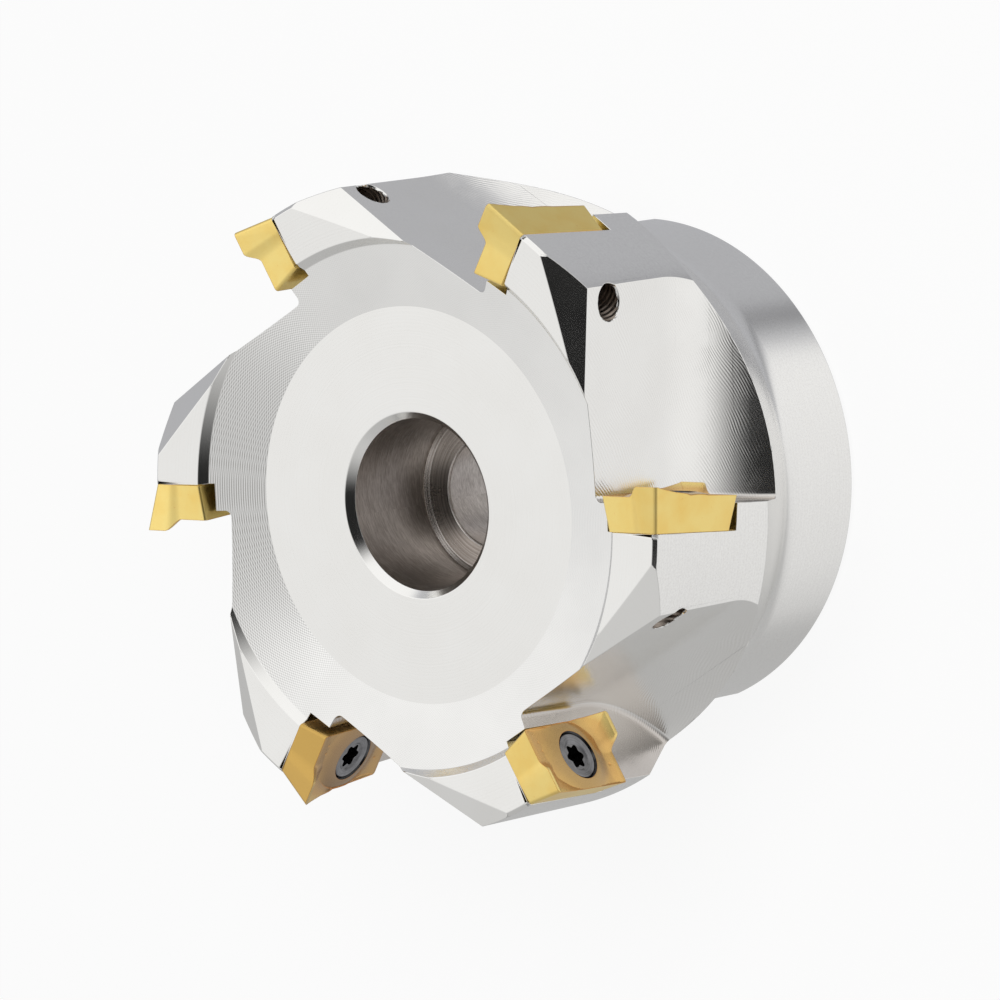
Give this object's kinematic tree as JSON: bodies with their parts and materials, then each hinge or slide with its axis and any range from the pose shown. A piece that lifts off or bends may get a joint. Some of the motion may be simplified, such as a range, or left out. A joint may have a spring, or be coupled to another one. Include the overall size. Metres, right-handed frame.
{
  "type": "shoulder milling cutter",
  "caption": "Indexable shoulder milling cutter with a nickel-plated steel body, gold-coated carbide inserts held by star-recess screws, an arbor bore and a rear drive slot.",
  "frame": {"origin": "centre of the hub's rear face, on the cutter's axis, at the lowest height", "axes": "+Z is the cutter's axis and points out of its cutting end; the drive slot runs along Y; +X points out through the tooth that stands 4.6 degrees short of it"},
  "size_m": [0.0628, 0.0612, 0.04],
  "materials": {
    "body_steel": "satin nickel plating over turned and milled steel",
    "insert_coating": "satin gold-coloured hard coating on carbide",
    "screw_steel": "dark oiled steel"
  },
  "bodies": {
    "root": {"body": "body_steel", "insert_1": "insert_coating", "insert_2": "insert_coating", "insert_3": "insert_coating", "insert_4": "insert_coating", "insert_5": "insert_coating", "insert_6": "insert_coating", "insert_screw_1": "screw_steel", "insert_screw_2": "screw_steel", "insert_screw_3": "screw_steel", "insert_screw_4": "screw_steel", "insert_screw_5": "screw_steel", "insert_screw_6": "screw_steel"}
  },
  "joints": []
}
